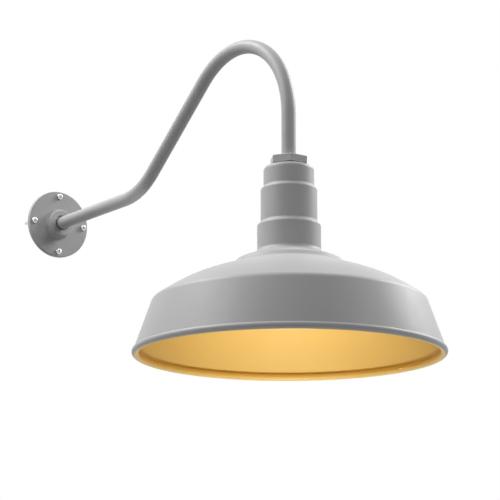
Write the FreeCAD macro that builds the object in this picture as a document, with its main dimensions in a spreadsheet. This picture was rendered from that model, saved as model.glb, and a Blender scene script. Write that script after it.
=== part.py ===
"""Gooseneck wall sconce: a cast wall flange, a bent tube arm and a spun shade with a stepped neck.

Millimetres, +Z up. The wall is the plane Y = 0 and the arm reaches towards -Y. The origin is the centre of
the flange's back face. The shade turns about a vertical axis at X = 0, Y = -projection.
"""

import FreeCAD
import Part
import Sketcher
import math
import os

DRIVING = {
    # wall flange
    "flange_radius": 51.75,
    "flange_thickness": 6.8,
    "flange_edge_round": 0.9,
    "rim_land": 14.75,
    "recess_depth": 3.4,
    "boss_radius": 21.9,
    "boss_front_radius": 20.3,
    "boss_height": 11.2,
    "boss_round": 2.2,
    "boss_fillet": 3.2,
    "mouth_gap": 2.175,
    "mouth_depth": 3.2,
    # screws through the flange, and the ground screw behind it
    "screw_inset": 8.02,
    "screw_thread_radius": 2.4,
    "screw_neck_radius": 2.0,
    "screw_head_radius": 4.75,
    "screw_head_height": 3.2,
    "screw_head_round": 2.24,
    "screw_reach": 20.0,
    "cross_width": 1.3,
    "cross_span": 4.6,
    "cross_depth": 1.9,
    "ground_head_radius": 3.8,
    "ground_head_height": 2.2,
    "ground_shank_radius": 1.7,
    "ground_shank_length": 2.4,
    # lock on the arm's end, from the wall inwards
    "lead_end_gap": 1.2,
    "lead_stand_out": 1.2,
    "bushing_lip": 1.2,
    "arm_stand_out": 1.1,
    "jam_nut_height": 4.6,
    "jam_nut_corner_radius": 15.6,
    "jam_washer_thickness": 0.9,
    "jam_washer_radius": 14.5,
    "wrench_gap": 1.0,
    "bushing_length": 7.0,
    "bushing_wall": 1.5,
    # arm
    "arm_radius": 9.525,
    "arm_wall": 1.65,
    "first_corner": 238.4,
    "first_bend_radius": 113.5,
    "rise_angle": 38.9,
    "top_bend_radius": 120.6,
    "projection": 596.4,
    # hub on top of the neck
    "hub_drop": 24.8,
    "hub_height": 10.3,
    "hub_corner_radius": 26.1,
    "hub_chamfer": 0.9,
    "arm_socket_depth": 11.0,
    "spigot_radius": 14.0,
    "spigot_length": 22.9,
    "gasket_radius": 21.6,
    "gasket_thickness": 2.4,
    "lock_washer_radius": 20.0,
    "lock_washer_thickness": 1.0,
    "lock_nut_corner_radius": 20.8,
    "lock_nut_height": 6.8,
    # shade: outside radii, and drops below the neck's top
    "sheet": 1.5,
    "neck_radius": 33.3,
    "neck_round": 6.0,
    "upper_step": 3.85,
    "upper_step_drop": 27.4,
    "lower_step": 4.61,
    "lower_step_drop": 75.2,
    "shoulder_round": 3.2,
    "collar_drop": 115.9,
    "collar_fillet": 7.0,
    "collar_width": 26.74,
    "collar_edge_drop": 126.5,
    "collar_round": 5.5,
    "collar_foot_width": 6.0,
    "collar_foot_drop": 133.4,
    "foot_fillet": 9.0,
    "dome_width": 42.4,
    "dome_drop": 154.0,
    "dome_bend": 220.0,
    "knee_drop": 180.7,
    "knee_round": 12.0,
    "skirt_flare": 25.1,
    "rim_radius": 203.2,
    "bead_radius": 4.6,
    "bead_drop": 248.16,
    "bead_outer_angle": 70.0,
    "bead_inner_angle": 82.3,
    "bead_gap_angle": 20.0,
    # nipple and bracket
    "nipple_radius": 6.5,
    "nipple_wall": 1.7,
    "nipple_gap": 0.8,
    "nipple_overhang": 5.4,
    "nipple_bushing_wall": 0.8,
    "bracket_drop": 10.0,
    "bracket_thickness": 1.6,
    "bracket_end": 6.75,
    "bracket_width": 15.0,
    "bracket_nut_corner_radius": 10.9,
    "bracket_nut_height": 3.8,
    "bracket_screw_radius": 1.9,
    "bracket_screw_length": 12.4,
    "bracket_screw_head_radius": 3.6,
    "bracket_screw_head_height": 2.3,
    "bracket_screw_head_round": 1.38,
    "screw_tip_gap": 1.2,
    # lampholder
    "holder_radius": 22.0,
    "holder_round": 2.0,
    "holder_web": 6.0,
    "socket_depth": 40.4,
    "shell_bore_radius": 13.25,
    "shell_sheet": 0.4,
    "shell_length": 28.0,
    "shell_neck_radius": 12.2,
    "shell_neck_length": 4.8,
    "rivet_radius": 1.4,
    "rivet_head_radius": 2.1,
    "rivet_head_height": 2.2,
    "rivet_head_round": 1.32,
    "rivet_gap": 0.2,
    "recess_gap": 0.5,
    "leaf_root": 6.4,
    "leaf_tip": 4.2,
    "leaf_width": 7.0,
    "leaf_thickness": 0.5,
    "leaf_angle": 18.0,
    "leaf_gap": 0.35,
    "leaf_side_gap": 0.3,
    "leaf_rivet_inset": 1.5,
    # leads
    "lead_radius": 1.2,
    "lead_gap": 0.5,
    "lead_bend_radius": 3.2,
    "lead_foot_run": 0.4,
    "lead_foot_gap": 0.3,
    # clearances
    "thread_clearance": 0.05,
    "screw_clearance": 0.25,
    "fit_clearance": 0.1,
}

SCREW_COUNT = 4
TINY = 0.01

doc = FreeCAD.newDocument("gooseneck_wall_sconce")
worked_out = []
sheet = doc.addObject("Spreadsheet::Sheet", "Sizes")
for row, (alias, number) in enumerate(DRIVING.items(), start=1):
    sheet.set(f"A{row}", alias)
    sheet.set(f"B{row}", str(number))
    sheet.setAlias(f"B{row}", alias)
doc.recompute()


class Size:
    """A size with the expression that works it out from the sheet."""

    def __init__(self, value, text):
        self.value = value
        self.text = text

    def __add__(self, other):
        other = size(other)
        return Size(self.value + other.value, f"({self.text} + {other.text})")

    def __sub__(self, other):
        other = size(other)
        return Size(self.value - other.value, f"({self.text} - {other.text})")

    def __mul__(self, other):
        other = size(other)
        return Size(self.value * other.value, f"{self.text} * {other.text}")

    def __truediv__(self, other):
        other = size(other)
        return Size(self.value / other.value, f"({self.text}) / ({other.text})")

    def __neg__(self):
        return Size(-self.value, f"(0 - {self.text})")

    def sin(self):
        return Size(math.sin(math.radians(self.value)), f"sin({self.text} * 1 deg)")

    def cos(self):
        return Size(math.cos(math.radians(self.value)), f"cos({self.text} * 1 deg)")

    def tan(self):
        return Size(math.tan(math.radians(self.value)), f"tan({self.text} * 1 deg)")

    def root(self):
        return Size(math.sqrt(self.value), f"sqrt({self.text})")


def size(value):
    """A Size of a plain number, or of an alias in the sheet."""
    if isinstance(value, Size):
        return value
    if isinstance(value, str):
        return Size(float(sheet.get(value)), f"Sizes.{value}")
    return Size(float(value), f"({float(value)!r})" if value < 0 else repr(float(value)))


def derived(alias, value):
    """Keeps a worked-out size in a cell of its own, so that what follows can name it."""
    cell = len(DRIVING) + len(worked_out) + 1
    worked_out.append(alias)
    sheet.set(f"A{cell}", alias)
    sheet.set(f"B{cell}", "=" + value.text.replace("Sizes.", ""))
    sheet.setAlias(f"B{cell}", alias)
    return Size(value.value, f"Sizes.{alias}")


ZERO = size(0)
ON_WALL = (ZERO, ZERO)
ON_SHADE_AXIS = (ZERO, -size("projection"))
START, END, CENTRE = 1, 2, 3
SKETCH_ORIGIN = (-1, 1)

sub_parts = []


# ---- sketches and features


def place_at(thing, place):
    """Binds where a thing stands to sizes (x, y) or (x, y, z)."""
    for letter, distance in zip("xyz", place):
        if distance.value:
            thing.setExpression(f"Placement.Base.{letter}", distance.text)


def new_body(name, place=ON_WALL):
    """A body for one sub-part, placed at (x, y) by the sheet."""
    body = doc.addObject("PartDesign::Body", name)
    body.Label = name
    place_at(body, place)
    sub_parts.append(body)
    return body


def template(name):
    """A body that a group repeats, not a sub-part itself."""
    return doc.addObject("PartDesign::Body", f"{name}_template")


def group(name, pattern, places):
    """Identical pieces as one sub-part of separate solids, each a copy of the pattern at its place."""
    doc.recompute()
    copies = []
    for number, place in enumerate(places, start=1):
        copy = doc.addObject("App::Link", f"{name}_{number}")
        copy.LinkedObject = pattern
        place_at(copy, place)
        copies.append(copy)
    compound = doc.addObject("Part::Compound", name)
    compound.Label = name
    compound.Links = copies
    sub_parts.append(compound)


def origin_feature(body, role):
    return next(feature for feature in body.Origin.OriginFeatures if feature.Role == role)


def new_sketch(body, name, plane, offset=None):
    """A sketch on one of the body's own planes, moved along the plane's normal by a size."""
    sketch = body.newObject("Sketcher::SketchObject", name)
    sketch.AttachmentSupport = [(origin_feature(body, plane), "")]
    sketch.MapMode = "FlatFace"
    if offset is not None:
        sketch.setExpression("AttachmentOffset.Base.z", offset.text)
    return sketch


def bind(sketch, kind, *args):
    """A dimensional constraint, its last argument a Size that stays bound to the sheet."""
    index = sketch.addConstraint(Sketcher.Constraint(kind, *args[:-1], args[-1].value))
    sketch.setExpression(f"Constraints[{index}]", args[-1].text)


def fix_point(sketch, geometry, end, u, v):
    """Fixes a point of the sketch at (u, v) from its origin."""
    for kind, distance in (("DistanceX", u), ("DistanceY", v)):
        if distance.value:
            bind(sketch, kind, *SKETCH_ORIGIN, geometry, end, distance)
        else:
            axis = -2 if kind == "DistanceX" else -1
            sketch.addConstraint(Sketcher.Constraint("PointOnObject", geometry, end, axis))


def point(u, v):
    return FreeCAD.Vector(u.value, v.value, 0)


def fillet_points(before, corner, after, radius):
    """Where an arc of this radius leaves and joins the two lines through the corner, and its centre."""
    back = (before - corner).normalize()
    ahead = (after - corner).normalize()
    half = back.getAngle(ahead) / 2
    reach = radius / math.tan(half)
    centre = corner + (back + ahead).normalize() * (radius / math.sin(half))
    return corner + back * reach, corner + ahead * reach, centre


def arc_between(start, end, centre, clockwise):
    """A sketch arc, and which of its ends is the first and which the last on the way round."""
    radius = (start - centre).Length
    first, last = (end, start) if clockwise else (start, end)
    circle = Part.Circle(centre, FreeCAD.Vector(0, 0, 1), radius)
    angles = [math.atan2(p.y - centre.y, p.x - centre.x) for p in (first, last)]
    if angles[1] < angles[0]:
        angles[1] += 2 * math.pi
    arc = Part.ArcOfCircle(circle, *angles)
    return arc, ((END, START) if clockwise else (START, END))


def outline(sketch, corners, closed=True):
    """Lines through the corners, each (u, v), (u, v, fillet) or (u, v, centre_u, centre_v, radius, turn).

    The long form makes the edge that leaves the corner an arc about that centre, "clockwise" or "counter".
    """
    count = len(corners)
    places = [(size(c[0]), size(c[1])) for c in corners]
    vectors = [point(*place) for place in places]
    fillets = {i: size(c[2]) for i, c in enumerate(corners) if len(c) == 3}
    edges = []
    turns = {}
    for i, radius in fillets.items():
        turns[i] = fillet_points(vectors[i - 1], vectors[i], vectors[(i + 1) % count], radius.value)
    for i in range(count if closed else count - 1):
        j = (i + 1) % count
        begin = turns[i][1] if i in turns else vectors[i]
        finish = turns[j][0] if j in turns else vectors[j]
        if len(corners[i]) > 3:
            centre_u, centre_v, radius, turn = corners[i][2:]
            arc, ends = arc_between(begin, finish, point(centre_u, centre_v), turn == "clockwise")
            edges.append((sketch.addGeometry(arc, False), ends))
            bind(sketch, "Radius", edges[-1][0], radius)
        else:
            line = sketch.addGeometry(Part.LineSegment(begin, finish), False)
            edges.append((line, (START, END)))
    for i in range(count):
        if closed or 0 < i < count - 1:
            join_edges(sketch, edges[i - 1], edges[i], places[i], turns.get(i), fillets.get(i))
    if not closed:
        fix_point(sketch, edges[0][0], edges[0][1][0], *places[0])
        fix_point(sketch, edges[-1][0], edges[-1][1][1], *places[-1])
    return edges


def join_edges(sketch, arriving, leaving, place, turn, radius):
    """Joins two edges at a fixed corner, or by an arc tangent to both."""
    (edge_in, ends_in), (edge_out, ends_out) = arriving, leaving
    if turn is None:
        sketch.addConstraint(Sketcher.Constraint("Coincident", edge_in, ends_in[1], edge_out, ends_out[0]))
        fix_point(sketch, edge_out, ends_out[0], *place)
        return
    start, end, centre = turn
    clockwise = (start - centre).cross(end - centre).z < 0
    arc, ends = arc_between(start, end, centre, clockwise)
    bend = sketch.addGeometry(arc, False)
    corner = sketch.addGeometry(Part.Point(point(*place)), True)
    fix_point(sketch, corner, START, *place)
    sketch.addConstraint(Sketcher.Constraint("PointOnObject", corner, START, edge_in))
    sketch.addConstraint(Sketcher.Constraint("PointOnObject", corner, START, edge_out))
    sketch.addConstraint(Sketcher.Constraint("Tangent", edge_in, ends_in[1], bend, ends[0]))
    sketch.addConstraint(Sketcher.Constraint("Tangent", bend, ends[1], edge_out, ends_out[0]))
    bind(sketch, "Radius", bend, radius)


def circles(sketch, *rings):
    """Circles, each (u, v, radius)."""
    for u, v, radius in rings:
        u, v, radius = size(u), size(v), size(radius)
        circle = Part.Circle(point(u, v), FreeCAD.Vector(0, 0, 1), radius.value)
        index = sketch.addGeometry(circle, False)
        fix_point(sketch, index, CENTRE, u, v)
        bind(sketch, "Radius", index, radius)


def revolve(body, name, plane, corners, kind="Revolution"):
    """Turns an outline of (radius, height) about the plane's upright axis."""
    sketch = new_sketch(body, f"{name}_outline", plane)
    outline(sketch, corners)
    doc.recompute()
    feature = body.newObject(f"PartDesign::{kind}", name)
    feature.Profile = sketch
    feature.ReferenceAxis = (sketch, ["V_Axis"])
    feature.Angle = 360
    doc.recompute()
    return feature


def pad(body, name, sketch, length, kind="Pad", reverse=False):
    """Pads a sketch, or pockets it, by a size along the sketch's normal or against it."""
    doc.recompute()
    feature = body.newObject(f"PartDesign::{kind}", name)
    feature.Profile = sketch
    feature.setExpression("Length", length.text)
    feature.Reversed = reverse
    doc.recompute()
    return feature


def around(body, name, features, axis, count):
    """Repeats features round an axis of the body."""
    pattern = body.newObject("PartDesign::PolarPattern", name)
    pattern.Originals = features
    pattern.Axis = (origin_feature(body, axis), [""])
    pattern.Angle = 360
    pattern.Occurrences = count
    body.Tip = pattern
    doc.recompute()
    return pattern


def hexagon(corner_radius):
    """The six corners of a hexagon about the origin, the first on the sketch's horizontal axis."""
    radius = size(corner_radius)
    rise = radius * (math.sqrt(3) / 2)
    half = radius / 2
    return [(radius, ZERO), (half, rise), (-half, rise), (-radius, ZERO), (-half, -rise), (half, -rise)]


def ring(name, place, plane, low, high, inner, outer):
    """A plain ring between two heights along its axis."""
    body = new_body(name, place)
    revolve(body, "ring", plane, [(inner, low), (outer, low), (outer, high), (inner, high)])
    return body


# ---- levels and radii that several pieces share

flange_face = -size("flange_thickness")
boss_face = flange_face - "boss_height"
recess_floor = -size("recess_depth")
lead_start = -size("lead_end_gap")
arm_start = lead_start - "lead_stand_out" - "bushing_lip"
jam_nut_back = arm_start - "arm_stand_out"
pocket_floor = jam_nut_back - "jam_nut_height" - "jam_washer_thickness"
pocket_radius = size("jam_nut_corner_radius") + "wrench_gap"
recess_radius = size("flange_radius") - "rim_land"
screw_circle_radius = size("flange_radius") - "screw_inset"
ground_screw_place = (pocket_radius + recess_radius) / 2

thread_bore = size("arm_radius") + "thread_clearance"
arm_bore = size("arm_radius") - "arm_wall"
hub_top = -size("hub_drop")
arm_end = hub_top - "arm_socket_depth"
hub_seat = hub_top - "hub_height"
spigot_bottom = hub_seat - "spigot_length"
spigot_hole = size("spigot_radius") + "fit_clearance"
neck_top = hub_seat - "gasket_thickness"
neck_inside = neck_top - "sheet"

nipple_top = arm_end - "nipple_gap"
nipple_hole = size("nipple_radius") + "thread_clearance"
nipple_bore = size("nipple_radius") - "nipple_wall"
nipple_bushing_bore = nipple_bore - "fit_clearance" - "nipple_bushing_wall"
bracket_top = spigot_bottom - "bracket_drop"
holder_top = bracket_top - "bracket_thickness"
nipple_bottom = holder_top - "nipple_overhang"

lead_place = size("lead_radius") + size("lead_gap") / 2
lead_bend_top = nipple_bottom - "bushing_lip" - "lead_foot_gap"
lead_foot = lead_bend_top - "lead_bend_radius" - "lead_foot_run"
rivet_top = lead_foot - "lead_radius" - "fit_clearance"
recess_bottom = rivet_top - "rivet_head_height"
web_bottom = recess_bottom - "holder_web"
holder_bottom = web_bottom - "socket_depth"
shell_outside = size("shell_bore_radius") + "shell_sheet"
half_leaf = size("leaf_width") / 2
shell_floor_radius = (size("leaf_root") * "leaf_root" + half_leaf * half_leaf).root() + "leaf_side_gap"
contact_rivet_place = size("leaf_root") - "leaf_rivet_inset"
shell_rivet_place = shell_floor_radius + "rivet_head_radius" + "rivet_gap"
holder_recess_radius = shell_rivet_place + "rivet_head_radius" + "recess_gap"
bracket_screw_place = (holder_recess_radius + "holder_radius") / 2


# ---- at the wall


def wall_flange():
    """A round cast flange with a raised boss that holds the arm, hollow behind for nut and leads."""
    body = new_body("wall_flange")
    revolve(
        body,
        "casting",
        "XY_Plane",
        [
            (recess_radius, ZERO),
            (size("flange_radius"), ZERO),
            (size("flange_radius"), flange_face, "flange_edge_round"),
            (size("boss_radius"), flange_face, "boss_fillet"),
            (size("boss_front_radius"), boss_face, "boss_round"),
            (thread_bore + "mouth_gap", boss_face),
            (thread_bore + "mouth_gap", boss_face + "mouth_depth"),
            (thread_bore, boss_face + "mouth_depth"),
            (thread_bore, pocket_floor),
            (pocket_radius, pocket_floor),
            (pocket_radius, recess_floor),
            (recess_radius, recess_floor),
        ],
    )
    holes = new_sketch(body, "screw_hole_outline", "XZ_Plane")
    circles(holes, (ZERO, screw_circle_radius, size("screw_thread_radius") + "screw_clearance"))
    hole = pad(body, "screw_hole", holes, size("flange_thickness"), "Pocket", reverse=True)
    around(body, "screw_holes", [hole], "Y_Axis", SCREW_COUNT)
    ground = new_sketch(body, "ground_hole_outline", "XZ_Plane", size("recess_depth"))
    circles(ground, (ground_screw_place, ZERO, size("ground_shank_radius") + "thread_clearance"))
    depth = size("ground_shank_length") + "fit_clearance"
    body.Tip = pad(body, "ground_hole", ground, depth, "Pocket", reverse=True)


def mounting_screws():
    """Four pan head screws with thin necks in the flange and threads that stand out behind it."""
    screw = template("mounting_screw")
    height = size("screw_head_height")
    wall = size("flange_thickness")
    revolve(
        screw,
        "blank",
        "XY_Plane",
        [
            (ZERO, -height),
            (size("screw_head_radius"), -height, "screw_head_round"),
            (size("screw_head_radius"), ZERO),
            (size("screw_neck_radius"), ZERO),
            (size("screw_neck_radius"), wall),
            (size("screw_thread_radius"), wall),
            (size("screw_thread_radius"), wall + "screw_reach"),
            (ZERO, wall + "screw_reach"),
        ],
    )
    wide = size("cross_span") / 2
    narrow = size("cross_width") / 2
    for number, (u, v) in enumerate(((wide, narrow), (narrow, wide))):
        sketch = new_sketch(screw, f"cross_outline_{number}", "XZ_Plane", height)
        outline(sketch, [(-u, -v), (u, -v), (u, v), (-u, v)])
        screw.Tip = pad(screw, f"cross_{number}", sketch, size("cross_depth"), "Pocket")
    out = screw_circle_radius
    around_the_flange = [(ZERO, out), (out, ZERO), (ZERO, -out), (-out, ZERO)]
    group("mounting_screws", screw, [(x, flange_face, z) for x, z in around_the_flange])


def arm_lock():
    """A toothed washer and a jam nut on the arm's threaded end, in the flange's pocket."""
    washer_top = pocket_floor + "jam_washer_thickness"
    ring("arm_lock_washer", ON_WALL, "XY_Plane", pocket_floor, washer_top, thread_bore, "jam_washer_radius")
    nut = new_body("arm_jam_nut")
    hex_nut(nut, "XZ_Plane", -washer_top, "jam_nut_corner_radius", thread_bore, "jam_nut_height")


def ground_screw():
    """A hex head screw for the ground lead, on the recess floor behind the flange."""
    body = new_body("ground_screw", (ground_screw_place, ZERO))
    head = new_sketch(body, "head_outline", "XZ_Plane", size("recess_depth"))
    outline(head, hexagon("ground_head_radius"))
    pad(body, "head", head, size("ground_head_height"), reverse=True)
    shank = new_sketch(body, "shank_outline", "XZ_Plane", size("recess_depth"))
    circles(shank, (ZERO, ZERO, "ground_shank_radius"))
    body.Tip = pad(body, "shank", shank, size("ground_shank_length"))


def wall_bushing():
    """An insulating bushing in the arm's open end behind the flange."""
    body = new_body("wall_bushing")
    outside = arm_bore - "fit_clearance"
    inside = outside - "bushing_wall"
    revolve(
        body,
        "bushing",
        "XY_Plane",
        [
            (inside, arm_start + "bushing_lip"),
            (size("arm_radius"), arm_start + "bushing_lip"),
            (size("arm_radius"), arm_start),
            (outside, arm_start),
            (outside, arm_start - "bushing_length"),
            (inside, arm_start - "bushing_length"),
        ],
    )


# ---- the arm and what runs in it


def arm_route(start, end):
    """The arm's centreline from the side: out from the wall, up at an angle and over, straight down."""
    top_corner = (size("projection") - "first_corner") * size("rise_angle").tan()
    return [
        (start, ZERO),
        (-size("first_corner"), ZERO, "first_bend_radius"),
        (-size("projection"), top_corner, "top_bend_radius"),
        (-size("projection"), end),
    ]


def sweep(body, name, route_plane, route_offset, route, profile, rings):
    """Sweeps circles along a route of straight runs and tangent arcs."""
    spine = new_sketch(body, f"{name}_route", route_plane, route_offset)
    outline(spine, route, closed=False)
    circles(profile, *rings)
    doc.recompute()
    pipe = body.newObject("PartDesign::AdditivePipe", name)
    pipe.Profile = profile
    pipe.Spine = (spine, [f"Edge{i + 1}" for i in range(len(spine.Shape.Edges))])
    doc.recompute()
    body.Tip = pipe
    return pipe


def gooseneck_arm():
    """A bent tube from the flange to the hub."""
    body = new_body("gooseneck_arm")
    section = new_sketch(body, "tube_section", "XZ_Plane", -arm_start)
    rings = [(ZERO, ZERO, "arm_radius"), (ZERO, ZERO, arm_bore)]
    sweep(body, "tube", "YZ_Plane", ZERO, arm_route(arm_start, arm_end), section, rings)


def lead(name, side, rivet_place):
    """An insulated lead along the arm and down through the nipple, bent outwards onto its rivet."""
    body = new_body(name)
    place = lead_place * side
    run = new_sketch(body, "run_section", "XZ_Plane", -lead_start)
    rings = [(place, ZERO, "lead_radius")]
    sweep(body, "run", "YZ_Plane", place, arm_route(lead_start, lead_bend_top), run, rings)
    foot = new_sketch(body, "foot_section", "XY_Plane", lead_bend_top)
    rings = [(place, -size("projection"), "lead_radius")]
    foot_route = [
        (place, lead_bend_top),
        (place, lead_foot, "lead_bend_radius"),
        ((rivet_place + "rivet_head_radius") * side, lead_foot),
    ]
    sweep(body, "foot", "XZ_Plane", size("projection"), foot_route, foot, rings)


# ---- hub and clamp on the neck


def hex_nut(body, plane, offset, corner_radius, bore, height):
    """A hexagonal nut that reaches from a plane's offset back against the plane's normal."""
    sketch = new_sketch(body, "nut_outline", plane, offset)
    outline(sketch, hexagon(corner_radius))
    circles(sketch, (ZERO, ZERO, bore))
    body.Tip = pad(body, "nut", sketch, size(height), reverse=True)


def hex_hub():
    """A hexagonal hub that takes the arm's end, with a threaded spigot down through the neck's top."""
    body = new_body("hex_hub", ON_SHADE_AXIS)
    top = new_sketch(body, "hexagon_outline", "XY_Plane", hub_top)
    outline(top, hexagon("hub_corner_radius"))
    prism = pad(body, "hexagon", top, size("hub_height"), reverse=True)
    edges = [
        f"Edge{i + 1}"
        for i, edge in enumerate(prism.Shape.Edges)
        if abs(edge.CenterOfMass.z - hub_top.value) < TINY
    ]
    chamfer = body.newObject("PartDesign::Chamfer", "top_chamfer")
    chamfer.Base = (prism, edges)
    chamfer.setExpression("Size", size("hub_chamfer").text)
    doc.recompute()
    spigot = new_sketch(body, "spigot_outline", "XY_Plane", hub_seat)
    circles(spigot, (ZERO, ZERO, "spigot_radius"))
    pad(body, "spigot", spigot, size("spigot_length"), reverse=True)
    arm_floor = arm_end - "fit_clearance"
    bores = (("arm_bore", thread_bore, arm_floor), ("nipple_bore", nipple_hole, spigot_bottom))
    for name, radius, floor in bores:
        sketch = new_sketch(body, f"{name}_outline", "XY_Plane", hub_top)
        circles(sketch, (ZERO, ZERO, radius))
        body.Tip = pad(body, name, sketch, hub_top - floor, "Pocket")


def neck_clamp():
    """The gasket above the neck's top, and the washer and nut that pull the shade up under the hub."""
    washer_bottom = neck_inside - "lock_washer_thickness"
    ring("hub_gasket", ON_SHADE_AXIS, "XZ_Plane", neck_top, hub_seat, spigot_hole, "gasket_radius")
    ring(
        "shade_lock_washer",
        ON_SHADE_AXIS,
        "XZ_Plane",
        washer_bottom,
        neck_inside,
        spigot_hole,
        "lock_washer_radius",
    )
    nut = new_body("shade_lock_nut", ON_SHADE_AXIS)
    bore = size("spigot_radius") + "thread_clearance"
    hex_nut(nut, "XY_Plane", washer_bottom, "lock_nut_corner_radius", bore, "lock_nut_height")


def shade():
    """A spun shade: a neck in three steps, a shallow collar, a dome, a straight skirt and a rolled bead."""
    body = new_body("shade", ON_SHADE_AXIS)
    gauge = size("sheet")
    bead = size("bead_radius")
    curl = bead - gauge
    bead_centre_radius = size("rim_radius") - bead
    bead_centre_height = neck_top - "bead_drop"

    def on_bead(radius, angle):
        angle = size(angle)
        return bead_centre_radius + radius * angle.cos(), bead_centre_height + radius * angle.sin()

    def around_bead(radius, turn):
        return (bead_centre_radius, bead_centre_height, radius, turn)

    neck = size("neck_radius")
    middle = neck + "upper_step"
    lower = middle + "lower_step"
    collar_edge = lower + "collar_width"
    knee = size("rim_radius") - "skirt_flare"
    outside = [
        (spigot_hole, neck_top),
        (neck, neck_top, "neck_round"),
        (neck, neck_top - "upper_step_drop", "shoulder_round"),
        (middle, neck_top - "upper_step_drop" - "upper_step", "shoulder_round"),
        (middle, neck_top - "lower_step_drop", "shoulder_round"),
        (lower, neck_top - "lower_step_drop" - "lower_step", "shoulder_round"),
        (lower, neck_top - "collar_drop", "collar_fillet"),
        (collar_edge, neck_top - "collar_edge_drop", "collar_round"),
        (collar_edge + "collar_foot_width", neck_top - "collar_foot_drop", "foot_fillet"),
        (knee - "dome_width", neck_top - "dome_drop", "dome_bend"),
        (knee, neck_top - "knee_drop", "knee_round"),
    ]
    free_end = size("bead_inner_angle") + "bead_gap_angle"
    rim = [
        (*on_bead(bead, "bead_outer_angle"), *around_bead(bead, "clockwise")),
        on_bead(bead, free_end),
        (*on_bead(curl, free_end), *around_bead(curl, "counter")),
        on_bead(curl, "bead_inner_angle"),
    ]
    top = (spigot_hole, neck_top - gauge)
    inside = inner_line(outside + rim[:1], gauge)
    revolve(body, "spinning", "XZ_Plane", outside + rim + inside[::-1] + [top])


def inner_line(outside, gauge):
    """The corners one sheet thickness inside a line of corners, without its two ends."""
    normals = []
    for number, (corner, after) in enumerate(zip(outside, outside[1:])):
        run = derived(f"run_{number}_across", size(after[0]) - corner[0])
        fall = derived(f"run_{number}_down", size(corner[1]) - after[1])
        length = derived(f"run_{number}_length", (run * run + fall * fall).root())
        normals.append((-fall / length, -run / length))
    inside = []
    for corner, (u1, v1), (u2, v2) in zip(outside[1:], normals, normals[1:]):
        number = len(inside)
        share = derived(f"corner_{number}_share", gauge / (size(1) + u1 * u2 + v1 * v2))
        bends_down = v1.value * u2.value - u1.value * v2.value > 0
        radius = size(corner[2]) - gauge if bends_down else size(corner[2]) + gauge
        u = derived(f"corner_{number}_radius", size(corner[0]) + (u1 + u2) * share)
        v = derived(f"corner_{number}_height", size(corner[1]) + (v1 + v2) * share)
        inside.append((u, v, radius))
    return inside


# ---- lampholder


def socket_nipple():
    """A hollow threaded nipple from the hub down to the bracket, and the bushing in its lower end."""
    ring("socket_nipple", ON_SHADE_AXIS, "XZ_Plane", nipple_bottom, nipple_top, nipple_bore, "nipple_radius")
    body = new_body("nipple_bushing", ON_SHADE_AXIS)
    outside = nipple_bore - "fit_clearance"
    revolve(
        body,
        "bushing",
        "XZ_Plane",
        [
            (nipple_bushing_bore, nipple_bottom - "bushing_lip"),
            (size("nipple_radius"), nipple_bottom - "bushing_lip"),
            (size("nipple_radius"), nipple_bottom),
            (outside, nipple_bottom),
            (outside, nipple_bottom + "bushing_length"),
            (nipple_bushing_bore, nipple_bottom + "bushing_length"),
        ],
    )


def socket_bracket():
    """A flat strap across the neck, held on the nipple between two nuts, and the lampholder's two screws."""
    body = new_body("socket_bracket", ON_SHADE_AXIS)
    place = bracket_screw_place
    long = place + "bracket_end"
    wide = size("bracket_width") / 2
    strap = new_sketch(body, "strap_outline", "XY_Plane", bracket_top)
    outline(strap, [(-long, -wide), (long, -wide), (long, wide), (-long, wide)])
    screw_hole = size("bracket_screw_radius") + "screw_clearance"
    circles(strap, (ZERO, ZERO, nipple_hole), (place, ZERO, screw_hole), (-place, ZERO, screw_hole))
    pad(body, "strap", strap, size("bracket_thickness"), reverse=True)

    nut = template("bracket_nut")
    hex_nut(nut, "XY_Plane", ZERO, "bracket_nut_corner_radius", nipple_hole, "bracket_nut_height")
    level = -size("projection")
    above = bracket_top + "bracket_nut_height"
    group("bracket_nuts", nut, [(ZERO, level, above), (ZERO, level, holder_top)])

    screw = template("bracket_screw")
    headed_pin(screw, "bracket_screw", size("bracket_screw_length"))
    group("bracket_screws", screw, [(place, level, bracket_top), (-place, level, bracket_top)])


def headed_pin(body, kind, length):
    """A round-headed screw or rivet standing on Z = 0, its shank below."""
    height = size(f"{kind}_head_height")
    head_radius = size(f"{kind}_head_radius")
    shank_radius = size(f"{kind}_radius")
    corners = [
        (ZERO, height),
        (head_radius, height, f"{kind}_head_round"),
        (head_radius, ZERO),
        (shank_radius, ZERO),
        (shank_radius, -length),
        (ZERO, -length),
    ]
    revolve(body, "pin", "XZ_Plane", corners)


def lampholder_body():
    """A glazed ceramic holder: a recess above for the nut and leads, a web, and the lamp's socket below."""
    body = new_body("lampholder_body", ON_SHADE_AXIS)
    cavity = shell_outside + "fit_clearance"
    revolve(
        body,
        "ceramic",
        "XZ_Plane",
        [
            (holder_recess_radius, holder_top),
            (size("holder_radius"), holder_top, "holder_round"),
            (size("holder_radius"), holder_bottom, "holder_round"),
            (cavity, holder_bottom),
            (cavity, web_bottom),
            (ZERO, web_bottom),
            (ZERO, recess_bottom),
            (holder_recess_radius, recess_bottom),
        ],
    )
    screws = new_sketch(body, "screw_hole_outline", "XY_Plane", holder_top)
    radius = size("bracket_screw_radius") + "fit_clearance"
    circles(screws, (bracket_screw_place, ZERO, radius), (-bracket_screw_place, ZERO, radius))
    depth = size("bracket_screw_length") - "bracket_thickness" + "screw_tip_gap"
    pad(body, "screw_holes", screws, depth, "Pocket")
    rivets = new_sketch(body, "rivet_hole_outline", "XY_Plane", recess_bottom)
    radius = size("rivet_radius") + "fit_clearance"
    circles(rivets, (contact_rivet_place, ZERO, radius), (-shell_rivet_place, ZERO, radius))
    pad(body, "rivet_holes", rivets, size("holder_web"), "Pocket")


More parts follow.
